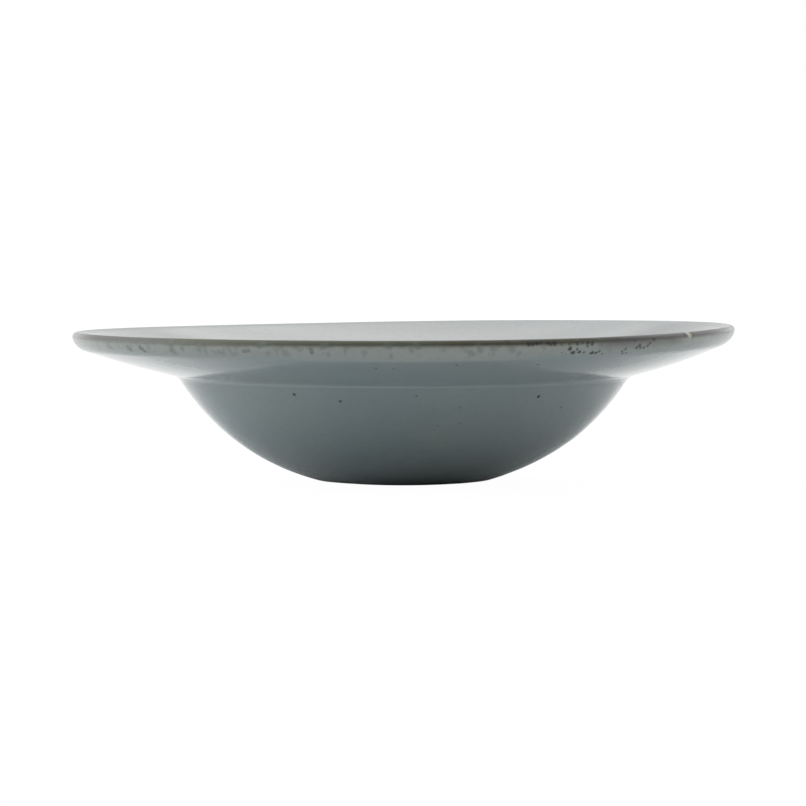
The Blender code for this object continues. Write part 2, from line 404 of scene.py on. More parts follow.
class Arc:
    """A circular arc from start to end, whose middle stands bulge to the right of its chord."""

    def __init__(self, start, end, bulge):
        self.start = np.array(start, float)
        self.end = np.array(end, float)
        chord = self.end - self.start
        self.chord = float(np.hypot(*chord))
        self.turn = 4.0 * math.atan2(2.0 * bulge, self.chord)
        self.first_heading = math.atan2(chord[1], chord[0]) - self.turn / 2.0

    def length(self):
        half = self.turn / 2.0
        return self.chord if half == 0.0 else self.chord * half / math.sin(half)

    def radius(self):
        return self.chord / (2.0 * math.sin(self.turn / 2.0))

    def at(self, share):
        heading = self.first_heading + self.turn * share
        if self.turn == 0.0:
            return self.start + share * (self.end - self.start), heading
        swing = outward(self.first_heading) - outward(heading)
        return self.start + self.radius() * swing, heading


def corner_curve(leave, arrive):
    """Places and headings on a smooth curve that rounds the corner between two (place, heading) pairs."""
    turn = math.remainder(arrive[1] - leave[1], math.tau)
    chord = float(np.hypot(*(arrive[0] - leave[0])))
    handle = chord * math.tan(turn / 4.0) / (1.5 * math.sin(turn / 2.0))
    knots = (leave[0], leave[0] + handle * along(leave[1]), arrive[0] - handle * along(arrive[1]), arrive[0])
    curve = []
    for step in range(1, CORNER_POINTS):
        t = step / CORNER_POINTS
        s = 1.0 - t
        place = s ** 3 * knots[0] + 3 * s * s * t * knots[1] + 3 * s * t * t * knots[2] + t ** 3 * knots[3]
        slope = (s * s * (knots[1] - knots[0]) + 2 * s * t * (knots[2] - knots[1])
                 + t * t * (knots[3] - knots[2]))
        curve.append((place, math.atan2(slope[1], slope[0])))
    return curve


class Section:
    """The clay's section from the middle of the well, over the lip, to the middle of the base."""

    def __init__(self):
        shoulder = np.array((BOWL_DIAMETER / 2.0, BOWL_HEIGHT))
        lip_under = shoulder + (RIM_WIDTH, RIM_RISE)
        lip_top = lip_under + (LIP_DRAFT, LIP_FACE)
        foot_outer = np.array((FOOT_DIAMETER / 2.0, 0.0))
        foot_inner = foot_outer - (FOOT_WIDTH, 0.0)
        recess = foot_inner + (-RECESS_DRAFT, FOOT_RECESS)
        bowl_side = shoulder - foot_outer
        bowl_rise = math.atan2(bowl_side[1], bowl_side[0])
        bowl_bulge = np.hypot(*bowl_side) / 2.0 * math.tan((bowl_rise - BOWL_FOOT_ANGLE) / 2.0)
        underside = Arc(lip_under, shoulder, -UNDER_FLARE)
        outside = Arc(shoulder, foot_outer, -bowl_bulge)

        # The well wall is parallel to the outside of the bowl, one wall in
        rim_normal = outward(underside.at(1.0)[1])
        bowl_normal = outward(outside.at(0.0)[1])
        well_edge = shoulder - (rim_normal + bowl_normal) * WALL / (1.0 + rim_normal @ bowl_normal)
        centre = shoulder - abs(outside.radius()) * bowl_normal
        well_radius = abs(outside.radius()) - WALL
        floor_height = FOOT_RECESS + FLOOR_THICKNESS
        floor_reach = math.sqrt(well_radius ** 2 - (centre[1] - floor_height) ** 2)
        floor_edge = np.array((centre[0] + floor_reach, floor_height))
        half_chord = np.hypot(*(well_edge - floor_edge)) / 2.0
        well_bulge = well_radius - math.sqrt(well_radius ** 2 - half_chord ** 2)

        arcs = [
            Arc((0.0, floor_height), floor_edge, 0.0),
            Arc(floor_edge, well_edge, well_bulge),
            Arc(well_edge, lip_top, RIM_FLARE),
            Arc(lip_top, lip_under, 0.0),
            underside,
            outside,
            Arc(foot_outer, foot_inner, 0.0),
            Arc(foot_inner, recess, 0.0),
            Arc(recess, (0.0, FOOT_RECESS), 0.0),
        ]
        corners = [
            ("well_floor", WELL_FLOOR_ROUND),
            ("well_edge", WELL_EDGE_ROUND),
            ("lip_top", LIP_TOP_ROUND),
            ("lip_under", LIP_UNDER_ROUND),
            ("shoulder", SHOULDER_ROUND),
            ("foot_outer", FOOT_OUTER_ROUND),
            ("foot_inner", FOOT_INNER_ROUND),
            ("recess", RECESS_ROUND),
        ]
        self.trace(arcs, corners)

    def trace(self, arcs, corners):
        """Points and headings along the arcs, with rounded corners between them."""
        reaches = [0.0] + [reach for name, reach in corners] + [0.0]
        line = []
        middles = {}
        for index, arc in enumerate(arcs):
            first = reaches[index] / arc.length()
            last = 1.0 - reaches[index + 1] / arc.length()
            if line:
                middles[corners[index - 1][0]] = len(line) + CORNER_POINTS // 2
                line += corner_curve(line[-1], arc.at(first))
            line += [arc.at(first + (last - first) * step / ARC_POINTS) for step in range(ARC_POINTS + 1)]
        self.places = np.array([place for place, heading in line])
        self.headings = np.unwrap([heading for place, heading in line])
        steps = np.hypot(*np.diff(self.places, axis=0).T)
        self.lengths = np.concatenate(([0.0], np.cumsum(steps)))
        self.corners = {name: self.lengths[middle] for name, middle in middles.items()}

    def end(self):
        return self.lengths[-1]

    def heading(self, length):
        return np.interp(length, self.lengths, self.headings)

    def at(self, length, stand_off):
        """Radius and height at lengths along the section, standing off the clay."""
        radius = np.interp(length, self.lengths, self.places[:, 0])
        height = np.interp(length, self.lengths, self.places[:, 1])
        heading = self.heading(length)
        return radius - stand_off * np.sin(heading), height + stand_off * np.cos(heading)

    def length_at_height(self, begin, height):
        """Where the section first comes down to a height, after a length along it."""
        after = np.flatnonzero((self.lengths >= begin) & (self.places[:, 1] <= height))[0]
        upper, lower = self.places[after - 1, 1], self.places[after, 1]
        share = (upper - height) / (upper - lower)
        return self.lengths[after - 1] + share * (self.lengths[after] - self.lengths[after - 1])


SECTION = Section()
LIP = SECTION.corners["lip_top"]
LIP_UNDER = SECTION.corners["lip_under"]
SHOULDER = SECTION.corners["shoulder"]
LIP_RADIUS = BOWL_DIAMETER / 2.0 + RIM_WIDTH + LIP_DRAFT
BAND_BEGIN = LIP - EDGE_BAND_ABOVE
BAND_FINISH = LIP_UNDER + EDGE_BAND_BELOW
BACK_FINISH = SECTION.length_at_height(BAND_FINISH, FOOT_BARE_HEIGHT)
BASE_BEGIN = SECTION.corners["recess"] + RECESS_BARE_WIDTH


def spaced(begin, finish, rows):
    """Lengths along the section, both ends included, that keep within a distance and a turn of each other."""
    distance, turn = rows
    inside = SECTION.lengths[(SECTION.lengths > begin) & (SECTION.lengths < finish)]
    fine = np.concatenate(([begin], inside, [finish]))
    effort = np.maximum(np.diff(fine) / distance, np.abs(np.diff(SECTION.heading(fine))) / turn)
    total = np.concatenate(([0.0], np.cumsum(effort)))
    return np.interp(np.linspace(0.0, total[-1], math.ceil(total[-1]) + 1), total, fine)


def joined(*stretches):
    """Rows of neighbouring stretches as one, without the repeated ends."""
    return np.unique(np.round(np.concatenate(stretches), 9))


def waves(places, wave_length):
    """Smooth unevenness between about -1 and 1 at each of many places."""
    flat = places.reshape(-1, 3) / wave_length
    return np.array([noise.noise(place) for place in flat]).reshape(places.shape[:-1])


def front_turn(degrees):
    """Turn about the axis of a place that lies so far round from the front to the right."""
    return math.radians(degrees - 90.0)


def round_places(radius, height, turn):
    return np.stack((radius * np.cos(turn), radius * np.sin(turn), height), axis=-1)


def rim_lift(reach, turn):
    """Rise of the rim out of true, which grows from the shoulder (reach 0) to the lip (reach 1)."""
    waves_round = [c * np.cos(count * turn) + s * np.sin(count * turn) for count, c, s in RIM_WAVES]
    return reach * sum(waves_round)


def smooth(value, low, high):
    """Rises smoothly from 0 at a low value to 1 at a high one."""
    share = np.clip((value - low) / (high - low), 0.0, 1.0)
    return share * share * (3.0 - 2.0 * share)


def lip_fullness(run, turn):
    """Extra depth of the lip: fullest under the front, and rounded off more at the sides."""
    front = np.clip(-np.sin(turn), 0.0, None) ** LIP_FRONT_NARROWNESS
    full = smooth(run, LIP_FULL_FROM, LIP_FULLEST) - smooth(run, LIP_FULLEST, LIP_FULL_TO)
    cut = smooth(run, LIP_CUT_FROM, LIP_CUT_MOST) - smooth(run, LIP_CUT_MOST, LIP_CUT_TO)
    return LIP_FRONT_FULLNESS * front * full - LIP_CUT * (1.0 - front) * cut


def under_rim(reach, turn):
    """Drop of the rim's underside from its arc: a sag over its width, and a shelf near the shoulder."""
    sag = UNDER_SAG + UNDER_SAG_SIDE * np.cos(turn) + UNDER_SAG_ENDS * np.cos(2.0 * turn)
    middle = np.clip(4.0 * reach * (1.0 - reach), 0.0, 1.0)
    shelf = UNDER_SHELF * np.sin(2.0 * turn) ** 2
    near_shoulder = UNDER_SHELF_PEAK * reach * np.clip(1.0 - reach, 0.0, 1.0) ** UNDER_SHELF_FALL
    return sag * middle + shelf * near_shoulder


def handmade(places, lengths, turn):
    """Places moved as the potter's hands left them: a rim out of true, and a bowl not quite on its centre."""
    radius = np.hypot(places[..., 0], places[..., 1])
    height = places[..., 2]
    reach = np.clip(radius - BOWL_DIAMETER / 2.0, 0.0, None) / RIM_WIDTH
    drop = under_rim(reach, turn) * (lengths > LIP_UNDER) + lip_fullness(lengths - LIP, turn)
    low = np.clip(1.0 - height / BOWL_SHIFT_TOP, 0.0, 1.0) * np.clip(height / BOWL_SHIFT_FOOT, 0.0, 1.0)
    slim = BOWL_SLIM * low / np.clip(radius, FOOT_WIDTH, None)
    moved = places.copy()
    moved[..., :2] *= 1.0 - slim[..., None]
    moved[..., 0] -= BOWL_SHIFT * low
    moved[..., 2] += rim_lift(reach, turn) - drop
    return moved


def surface(lengths, offs, turn, uneven):
    """Places on the plate, at lengths along its section, distances off the clay and turns about its axis."""
    radius, height = SECTION.at(lengths, offs)
    places = round_places(radius, height, turn)
    heading = SECTION.heading(lengths)
    normal = round_places(-np.sin(heading), np.cos(heading), turn)
    swell = WAVE_HEIGHT * waves(places, WAVE_LENGTH) + RIPPLE_HEIGHT * waves(places, RIPPLE_LENGTH)
    return handmade(places + (swell * uneven)[..., None] * normal, lengths, turn)


class Rings:
    """Rows of points along the section, turned about the axis into one closed mesh.

    Each row has a length along the section, a distance off the clay and a share of the coat's unevenness.
    Both lengths and offs may differ round the axis, as arrays of rows by steps.
    """

    def __init__(self, lengths, offs, uneven, steps):
        shape = (len(lengths), steps)
        self.steps = steps
        self.turn = np.broadcast_to(np.arange(steps) * math.tau / steps, shape)
        self.lengths = np.broadcast_to(lengths.reshape(len(lengths), -1), shape)
        self.offs = np.broadcast_to(offs.reshape(len(offs), -1), shape)
        self.places = surface(self.lengths, self.offs, self.turn, uneven[:, None])
        self.poles = SECTION.at(self.lengths[:, 0], self.offs[:, 0])[0] < NEARLY
        sizes = np.where(self.poles, 1, steps)
        self.starts = np.concatenate(([0], np.cumsum(sizes)[:-1]))

    def strips(self):
        """Pairs of neighbouring rows, the last and the first among them, that aren't both on the axis."""
        count = len(self.starts)
        pairs = [(row, (row + 1) % count) for row in range(count)]
        return [pair for pair in pairs if not self.poles[list(pair)].all()]

    def points(self, rows):
        """One value for each vertex, from an array of rows by steps."""
        return np.concatenate([row[:1] if pole else row for row, pole in zip(rows, self.poles)])

    def point(self, row, step):
        """Index of a row's vertex at a step. A row on the axis has only one."""
        start = int(self.starts[row])
        return start if self.poles[row] else start + step % self.steps

    def faces(self):
        """Quads of each strip, or triangles where one of its rows is on the axis."""
        faces = []
        for near, far in self.strips():
            for step in range(self.steps):
                corners = (self.point(near, step), self.point(far, step),
                           self.point(far, step + 1), self.point(near, step + 1))
                faces.append(list(dict.fromkeys(corners)))
        return faces

    def map_places(self, charts):
        """Place on the map of each face corner. charts gives each strip its middle and its two ring radii."""
        turn = np.arange(self.steps + 1) * math.tau / self.steps
        ring = np.stack((np.cos(turn), np.sin(turn)), axis=1)
        corners = []
        for (near, far), (middle, near_radius, far_radius) in zip(self.strips(), charts):
            inner = np.array(middle) + near_radius * ring
            outer = np.array(middle) + far_radius * ring
            face = [inner[:-1], outer[:-1], outer[1:], inner[1:]]
            if self.poles[near]:
                face = [(inner[:-1] + inner[1:]) / 2.0, outer[:-1], outer[1:]]
            elif self.poles[far]:
                face = [inner[:-1], (outer[:-1] + outer[1:]) / 2.0, inner[1:]]
            corners.append(np.stack(face, axis=1).reshape(-1))
        return np.concatenate(corners)

    def mesh(self, name, charts):
        mesh = bpy.data.meshes.new(name)
        mesh.from_pydata(self.points(self.places).tolist(), [], self.faces())
        run = self.points(self.lengths - LIP)
        mesh.attributes.new("lip_run", "FLOAT", "POINT").data.foreach_set("value", run)
        mesh.uv_layers.new(name="OFBake").data.foreach_set("uv", self.map_places(charts))
        mesh.shade_smooth()
        mesh.set_sharp_from_angle(angle=SHARP_ANGLE)
        return mesh


def ring_charts(lengths, middle, radii):
    """Charts of the strips between rows, whose rings run from the first radius to the second."""
    travelled = np.concatenate(([0.0], np.cumsum(np.abs(np.diff(lengths)) + LEAST_RING)))
    rings = np.interp(travelled, (0.0, travelled[-1]), radii)
    return [(middle, near, far) for near, far in zip(rings[:-1], rings[1:])]


def add_piece(name, mesh, material, node):
    mesh.materials.append(material)
    piece = bpy.data.objects.new(name, mesh)
    bpy.context.scene.collection.objects.link(piece)
    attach(piece, "root")
    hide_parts(node)
    return piece


def rolled(distance):
    """Thickness of a coat at a distance from its free edge, which is rounded."""
    share = np.clip(distance / COAT_ROLL, 0.0, 1.0)
    return COAT_EDGE + (COAT_OUTSIDE - COAT_EDGE) * np.sqrt(1.0 - (1.0 - share) ** 2)


def coat_mesh(name, shown, offs, uneven, hidden, steps, radii):
    """A coat whose outside follows shown lengths, at offs from the clay, and whose back lies on the clay.

    shown and offs are arrays of rows by steps, and radii are the shown side's first and last ring on the map.
    """
    back = np.repeat(hidden[::-1, None], steps, axis=1)
    lengths = np.concatenate((shown, back))
    offs = np.concatenate((offs, np.full(back.shape, COAT_INSIDE)))
    rings = Rings(lengths, offs, np.concatenate((uneven, np.zeros(len(back)))), steps)
    turn_back = len(shown) if rings.poles[len(shown) - 1] else len(shown) - 1
    hidden_path = lengths[turn_back:, 0]
    if not rings.poles[0]:
        hidden_path = np.append(hidden_path, lengths[0, 0])
    charts = ring_charts(shown[:, 0], MAP_MIDDLE, radii)
    charts += ring_charts(hidden_path, MAP_CORNERS[0], MAP_CORNER_RINGS)
    return rings.mesh(name, charts)


def face_mesh(name):
    """The coat on the eating side, from the middle of the well to the lip's band."""
    rows = spaced(0.0, BAND_BEGIN, SHOWN_ROWS)
    shown = np.repeat(rows[:, None], STEPS_ROUND, axis=1)
    hidden = spaced(0.0, BAND_BEGIN, HIDDEN_ROWS)
    return coat_mesh(name, shown, np.full(shown.shape, COAT_OUTSIDE), np.ones(len(rows)), hidden,
                     STEPS_ROUND, (0.0, MAP_RADIUS))


def lip_mesh(name):
    """The band over the lip, with its chip."""
    rows = spaced(BAND_BEGIN, BAND_FINISH, LIP_ROWS)
    shown = np.repeat(rows[:, None], LIP_STEPS_ROUND, axis=1)
    turn = np.arange(LIP_STEPS_ROUND) * math.tau / LIP_STEPS_ROUND
    aside = np.remainder(turn - front_turn(CHIP_TURN) + math.pi, math.tau) - math.pi
    apart = np.hypot(aside * LIP_RADIUS / CHIP_WIDTH, (shown - LIP - CHIP_RUN) / CHIP_HEIGHT) * 2.0
    offs = COAT_OUTSIDE - CHIP_DEPTH * np.clip(1.0 - apart ** 2, 0.0, 1.0)
    hidden = spaced(BAND_BEGIN, BAND_FINISH, HIDDEN_ROWS)
    return coat_mesh(name, shown, offs, np.ones(len(rows)), hidden,
                     LIP_STEPS_ROUND, (LIP_MAP_RADIUS, MAP_RADIUS))


def outer_mesh(name):
    """The coat under the rim and down the bowl, which ends in a wavering rolled edge above the foot."""
    roll_begin = BACK_FINISH - COAT_ROLL
    rows = joined(spaced(BAND_FINISH, roll_begin, SHOWN_ROWS), spaced(roll_begin, BACK_FINISH, ROLL_ROWS))
    turn = np.arange(STEPS_ROUND) * math.tau / STEPS_ROUND
    line = round_places(np.full(STEPS_ROUND, FOOT_DIAMETER / 2.0), np.zeros(STEPS_ROUND), turn)
    waver = FOOT_LINE_WAVER * waves(line, FOOT_LINE_WAVES)
    near_line = np.clip(1.0 - (BACK_FINISH - rows) / FOOT_LINE_REACH, 0.0, 1.0)
    shown = rows[:, None] + near_line[:, None] * waver
    offs = np.repeat(rolled(BACK_FINISH - rows)[:, None], STEPS_ROUND, axis=1)
    hidden = spaced(BAND_FINISH, roll_begin - FOOT_LINE_WAVER, HIDDEN_ROWS)
    return coat_mesh(name, shown, offs, 1.0 - near_line, hidden, STEPS_ROUND, (MAP_RADIUS, FOOT_MAP_RADIUS))


def base_mesh(name):
    """The coat in the recess of the foot, from its rolled edge to the middle."""
    roll_finish = BASE_BEGIN + COAT_ROLL
    rows = joined(spaced(BASE_BEGIN, roll_finish, ROLL_ROWS), spaced(roll_finish, SECTION.end(), SHOWN_ROWS))
    shown = np.repeat(rows[:, None], CORE_STEPS_ROUND, axis=1)
    offs = np.repeat(rolled(rows - BASE_BEGIN)[:, None], CORE_STEPS_ROUND, axis=1)
    uneven = np.clip((rows - BASE_BEGIN) / FOOT_LINE_REACH, 0.0, 1.0)
    hidden = spaced(roll_finish, SECTION.end(), HIDDEN_ROWS)
    return coat_mesh(name, shown, offs, uneven, hidden, CORE_STEPS_ROUND, (MAP_RADIUS, 0.0))


def clay_mesh(name):
    """The clay: coarse under its coats, and fine where the foot shows it bare."""
    bare = (BACK_FINISH - FOOT_LINE_REACH, BASE_BEGIN + FOOT_LINE_REACH)
    rows = joined(spaced(0.0, bare[0], HIDDEN_ROWS), spaced(*bare, FOOT_ROWS),
                  spaced(bare[1], SECTION.end(), HIDDEN_ROWS))
    first, last = np.searchsorted(rows, np.array(bare) - NEARLY)
    rings = Rings(rows, np.zeros(len(rows)), np.zeros(len(rows)), CORE_STEPS_ROUND)
    charts = ring_charts(rows[:first + 1], MAP_CORNERS[0], MAP_CORNER_RINGS)
    charts += ring_charts(rows[first:last + 1], MAP_MIDDLE, (MAP_RADIUS, FOOT_MAP_RADIUS))
    charts += ring_charts(rows[last:], MAP_CORNERS[1], MAP_CORNER_RINGS)
    return rings.mesh(name, charts)


def surface_point(degrees, run):
    """A place on the glaze, so far round from the front to the right and so far below the lip's edge."""
    ones = np.ones((1, 1))
    return surface((LIP + run) * ones, COAT_OUTSIDE * ones, front_turn(degrees) * ones, ones)[0, 0]


class Nodes:
    """Short calls for building a node tree."""

    def __init__(self, tree):
        self.tree = tree

    def new(self, kind, **settings):
        node = self.tree.nodes.new(kind)
        for key, value in settings.items():
            setattr(node, key, value)
        return node

    def put(self, socket, value):
        if isinstance(value, bpy.types.NodeSocket):
            self.tree.links.new(value, socket)
        else:
            socket.default_value = value

    def math(self, operation, *values):
        node = self.new("ShaderNodeMath", operation=operation)
        for socket, value in zip(node.inputs, values):
            self.put(socket, value)
        return node.outputs[0]

    def vector(self, operation, *values):
        node = self.new("ShaderNodeVectorMath", operation=operation)
        for socket, value in zip(node.inputs, values):
            self.put(socket, value)
        return node.outputs["Value" if operation in ("DISTANCE", "DOT_PRODUCT") else "Vector"]

    def split(self, vector):
        node = self.new("ShaderNodeSeparateXYZ")
        self.put(node.inputs[0], vector)
        return node.outputs

    def join(self, x, y, z):
        node = self.new("ShaderNodeCombineXYZ")
        for socket, value in zip(node.inputs, (x, y, z)):
            self.put(socket, value)
        return node.outputs[0]

    def ramp(self, value, low, high, to_low=0.0, to_high=1.0):
        node = self.new("ShaderNodeMapRange", interpolation_type="SMOOTHSTEP")
        self.put(node.inputs["Value"], value)
        self.put(node.inputs["From Min"], low)
        self.put(node.inputs["From Max"], high)
        self.put(node.inputs["To Min"], to_low)
        self.put(node.inputs["To Max"], to_high)
        return node.outputs["Result"]

    def within(self, value, low, high, soft):
        """1 between two values and 0 outside them, with soft borders."""
        rise = self.ramp(value, low - soft, low + soft)
        return self.math("MULTIPLY", rise, self.ramp(value, high - soft, high + soft, 1.0, 0.0))

    def product(self, first, *others):
        for other in others:
            first = self.math("MULTIPLY", first, other)
        return first

    def most(self, values):
        first, *others = values
        for other in others:
            first = self.math("MAXIMUM", first, other)
        return first

    def mix(self, share, first, second):
        node = self.new("ShaderNodeMix", data_type="RGBA")
        self.put(node.inputs["Factor"], share)
        self.put(node.inputs[6], first)
        self.put(node.inputs[7], second)
        return node.outputs[2]

    def noise_node(self, size, detail, place):
        node = self.new("ShaderNodeTexNoise")
        self.put(node.inputs["Vector"], place)
        node.inputs["Scale"].default_value = 1.0 / size
        node.inputs["Detail"].default_value = detail
        return node


class Finish(Nodes):
    """A material in the making, with the places on the plate that its patterns follow."""

    def __init__(self, name):
        self.material = bpy.data.materials.new(name)
        self.material.use_nodes = True
        super().__init__(self.material.node_tree)
        self.shader = self.tree.nodes["Principled BSDF"]
        self.place = self.new("ShaderNodeTexCoord").outputs["Object"]
        self.run = self.new("ShaderNodeAttribute", attribute_name="lip_run").outputs["Fac"]

    def noise(self, size, detail=2.0, place=None):
        """Noise between 0 and 1, whose waves are about size metres long."""
        return self.noise_node(size, detail, place or self.place).outputs["Fac"]

    def shaken(self, size, reach):
        """Places on the plate, moved about by up to half the reach, which makes round marks uneven."""
        colours = self.noise_node(size, 2.0, self.place).outputs["Color"]
        wander = self.vector("SUBTRACT", colours, (0.5, 0.5, 0.5))
        return self.vector("ADD", self.place, self.vector("MULTIPLY", wander, (reach, reach, reach)))

    def cells(self, spacing, place):
        """Distance from the nearest of many scattered points, and two random numbers of that point."""
        node = self.new("ShaderNodeTexVoronoi")
        self.put(node.inputs["Vector"], place)
        node.inputs["Scale"].default_value = 1.0 / spacing
        chance = self.new("ShaderNodeSeparateColor")
        self.put(chance.inputs[0], node.outputs["Color"])
        return self.math("MULTIPLY", node.outputs["Distance"], spacing), chance.outputs[0], chance.outputs[1]

    def scattered(self, spacing, width, share, place):
        """Dots of up to a width, at a share of scattered points."""
        distance, chance, size = self.cells(spacing, place)
        size = self.math("MULTIPLY_ADD", size, 1.0 - LEAST_DOT, LEAST_DOT)
        reach = self.math("MULTIPLY", size, width / 2.0)
        dot = self.ramp(distance, self.math("MULTIPLY", reach, DOT_CORE), reach, 1.0, 0.0)
        return self.product(dot, self.math("LESS_THAN", chance, share))

    def marks(self, marks, place):
        """Spots at given places, each as (turn, run, width, darkness)."""
        spots = []
        for degrees, run, width, darkness in marks:
            distance = self.vector("DISTANCE", place, tuple(surface_point(degrees, run)))
            near, far = (border * width for border in MARK_SOFT)
            spots.append(self.ramp(distance, near, far, darkness, 0.0))
        return self.most(spots)

    def strokes(self, strokes, place):
        """Strokes, each as (turn, run, turn, run, width, darkness), in degrees and millimetres."""
        lines = []
        for first_turn, first_run, last_turn, last_run, width, darkness in strokes:
            first = surface_point(first_turn, first_run * MILLI)
            way = surface_point(last_turn, last_run * MILLI) - first
            from_first = self.vector("SUBTRACT", place, tuple(first))
            gone = self.vector("DOT_PRODUCT", from_first, tuple(way / (way @ way)))
            share = self.math("MINIMUM", self.math("MAXIMUM", gone, 0.0), 1.0)
            nearest = self.vector("MULTIPLY_ADD", tuple(way), share, tuple(first))
            distance = self.vector("DISTANCE", place, nearest)
            near, far = (border * width * MILLI for border in STROKE_SOFT)
            lines.append(self.ramp(distance, near, far, darkness, 0.0))
        beads = self.ramp(self.noise(BEAD_SIZE), *BEADS)
        return self.product(self.most(lines), beads)

    def around(self, stretch):
        """Places on a cylinder whose height is the run, so that patterns on the lip can be drawn out."""
        x, y, z = self.split(self.place)
        level = self.new("ShaderNodeVectorMath", operation="NORMALIZE")
        self.put(level.inputs[0], self.join(x, y, 0.0))
        across = self.vector("MULTIPLY", level.outputs["Vector"], (LIP_RADIUS, LIP_RADIUS, 0.0))
        return self.vector("ADD", across, self.join(0.0, 0.0, self.math("DIVIDE", self.run, stretch)))

    def turn(self):
        """Degrees round from the front to the right."""
        x, y, z = self.split(self.place)
        forward = self.math("MULTIPLY", y, -1.0)
        return self.math("MULTIPLY", self.math("ARCTAN2", x, forward), DEGREES)

    def bump(self, height, distance):
        node = self.new("ShaderNodeBump")
        self.put(node.inputs["Height"], height)
        node.inputs["Distance"].default_value = distance
        self.put(self.shader.inputs["Normal"], node.outputs["Normal"])


def glaze_colour(finish):
    """The glaze before its marks: soft clouds and fine mottling, and paler on the eating side, where painted
    shade darkens it towards the right.
    """
    clouds = finish.ramp(finish.noise(CLOUD_SIZE, 3.0), *NOISE_SPREAD)
    colour = finish.mix(clouds, GLAZE_DEEP, GLAZE)
    face = finish.ramp(finish.run, *FACE_BORDER, 1.0, 0.0)
    x, y, z = finish.split(finish.place)
    # Painted shade: the eating side darkens from left to right, evening out the stronger light from the left
    face_with_painted_shade = finish.mix(finish.ramp(x, -LIP_RADIUS, LIP_RADIUS), GLAZE_FACE, FACE_PAINTED_SHADE)
    colour = finish.mix(face, colour, face_with_painted_shade)
    lip_begins = finish.ramp(finish.run, *LIP_COLOUR_BEGINS)
    lip_ends = finish.ramp(finish.run, *LIP_COLOUR_ENDS, 1.0, 0.0)
    colour = finish.mix(finish.product(lip_begins, lip_ends), colour, GLAZE_LIP)
    mottle = finish.ramp(finish.noise(MOTTLE_SIZE, 3.0), *MOTTLE)
    return finish.mix(mottle, colour, DRIP)


def speckled(finish, colour):
    """Small iron specks all over."""
    specks = finish.scattered(SPECK_SPACING, SPECK_WIDTH, SPECK_SHARE, finish.shaken(*SPECK_SHAKE))
    return finish.mix(finish.math("MULTIPLY", specks, SPECK_DARKNESS), colour, IRON)


def gloss(finish):
    """Roughness of the glaze, which varies a little from place to place."""
    return finish.ramp(finish.noise(GLOSS_SIZE, 3.0), *NOISE_SPREAD, *GLOSS_ROUGHNESS)


def glossy(finish, colour, roughness):
    """Ends a glaze: its colour, its gloss and the slight unevenness of its skin."""
    finish.put(finish.shader.inputs["Base Color"], colour)
    finish.put(finish.shader.inputs["Roughness"], roughness)
    finish.shader.inputs["IOR"].default_value = GLAZE_IOR
    finish.bump(finish.noise(SKIN_SIZE), SKIN_HEIGHT)
    return finish.material


def plain_finish(name):
    """Glaze with nothing on it but its fine specks."""
    finish = Finish(name)
    return glossy(finish, speckled(finish, glaze_colour(finish)), gloss(finish))


def back_finish():
    """Outside of the bowl: a painted highlight as a paler line along the crease, and a few strong iron
    specks.
    """
    finish = Finish("back_finish")
    colour = glaze_colour(finish)
    crease = finish.math("ABSOLUTE", finish.math("SUBTRACT", finish.run, SHOULDER - LIP))
    # Painted highlight: a paler line along the crease where the rim meets the bowl
    colour = finish.mix(finish.ramp(crease, *CREASE_HIGHLIGHT_BAND, 1.0, 0.0), colour, CREASE_HIGHLIGHT)
    colour = speckled(finish, colour)
    shaken = finish.shaken(*MARK_SHAKE)
    colour = finish.mix(finish.marks(SPECKS, shaken), colour, IRON)
    colour = finish.mix(finish.strokes(RIM_MARKS, shaken), colour, IRON)
    return glossy(finish, colour, gloss(finish))


def edge_strength(finish, gone, full):
    """Where the edge is dark: along the front, between two shares of the radius, and in patches behind."""
    x, y, z = finish.split(finish.place)
    front = finish.ramp(y, -gone * LIP_RADIUS, -full * LIP_RADIUS)
    patches = finish.ramp(finish.noise(BACK_PATCH_SIZE, 1.0, finish.around(1.0)), *BACK_PATCHES)
    return finish.most((front, finish.product(patches, finish.ramp(y, *BACK_FADE))))


def ragged_run(finish, rags):
    """Distance below the edge, made uneven by noise."""
    return finish.math("MULTIPLY_ADD", rags, RAGGED, finish.math("SUBTRACT", finish.run, RAGGED / 2.0))


def edge_olive(finish):
    """How far the glaze has turned olive: most at the edge, fading below it, and patchy round the plate."""
    depth = ragged_run(finish, finish.noise(OLIVE_RAGS, 3.0, finish.around(OLIVE_STRETCH)))
    fade = finish.math("POWER", finish.ramp(depth, *OLIVE_FADE, 1.0, 0.0), OLIVE_FADE_POWER)
    strength = edge_strength(finish, *OLIVE_FRONT)
    return finish.product(fade, strength, finish.ramp(finish.run, *EDGE_TOP))


def olive_colour(finish):
    """Colour of the turned glaze: olive on the left, darker on the right, and grey beyond that."""
    turn = finish.turn()
    colour = finish.mix(finish.within(turn, *OLIVE_DARK_TURNS), OLIVE, OLIVE_DARK)
    return finish.mix(finish.within(turn, *GREY_DARK_TURNS), colour, GREY_DARK)


def edge_drips(finish):
    """Faint blotches of the dark glaze below the edge."""
    blotch = finish.ramp(finish.noise(DRIP_SIZE, 3.0, finish.around(DRIP_STRETCH)), *DRIP_SPREAD)
    return finish.product(blotch, finish.within(finish.run, *DRIP_BAND))


def edge_grey_and_shade(finish):
    """Darkening below the edge: a thin band of painted shade all round, and a broad dark grey band at one
    place on the right.
    """
    depth = ragged_run(finish, finish.noise(GREY_RAGS))
    # Painted shade: the thin band stands in for the darker reflection over the top of the lip
    thin = finish.ramp(depth, *THIN_PAINTED_SHADE)
    broad = finish.product(finish.ramp(depth, *GREY_BROAD), finish.within(finish.turn(), *GREY_BROAD_TURNS))
    return finish.product(finish.most((thin, broad)), finish.ramp(finish.run, *EDGE_TOP))


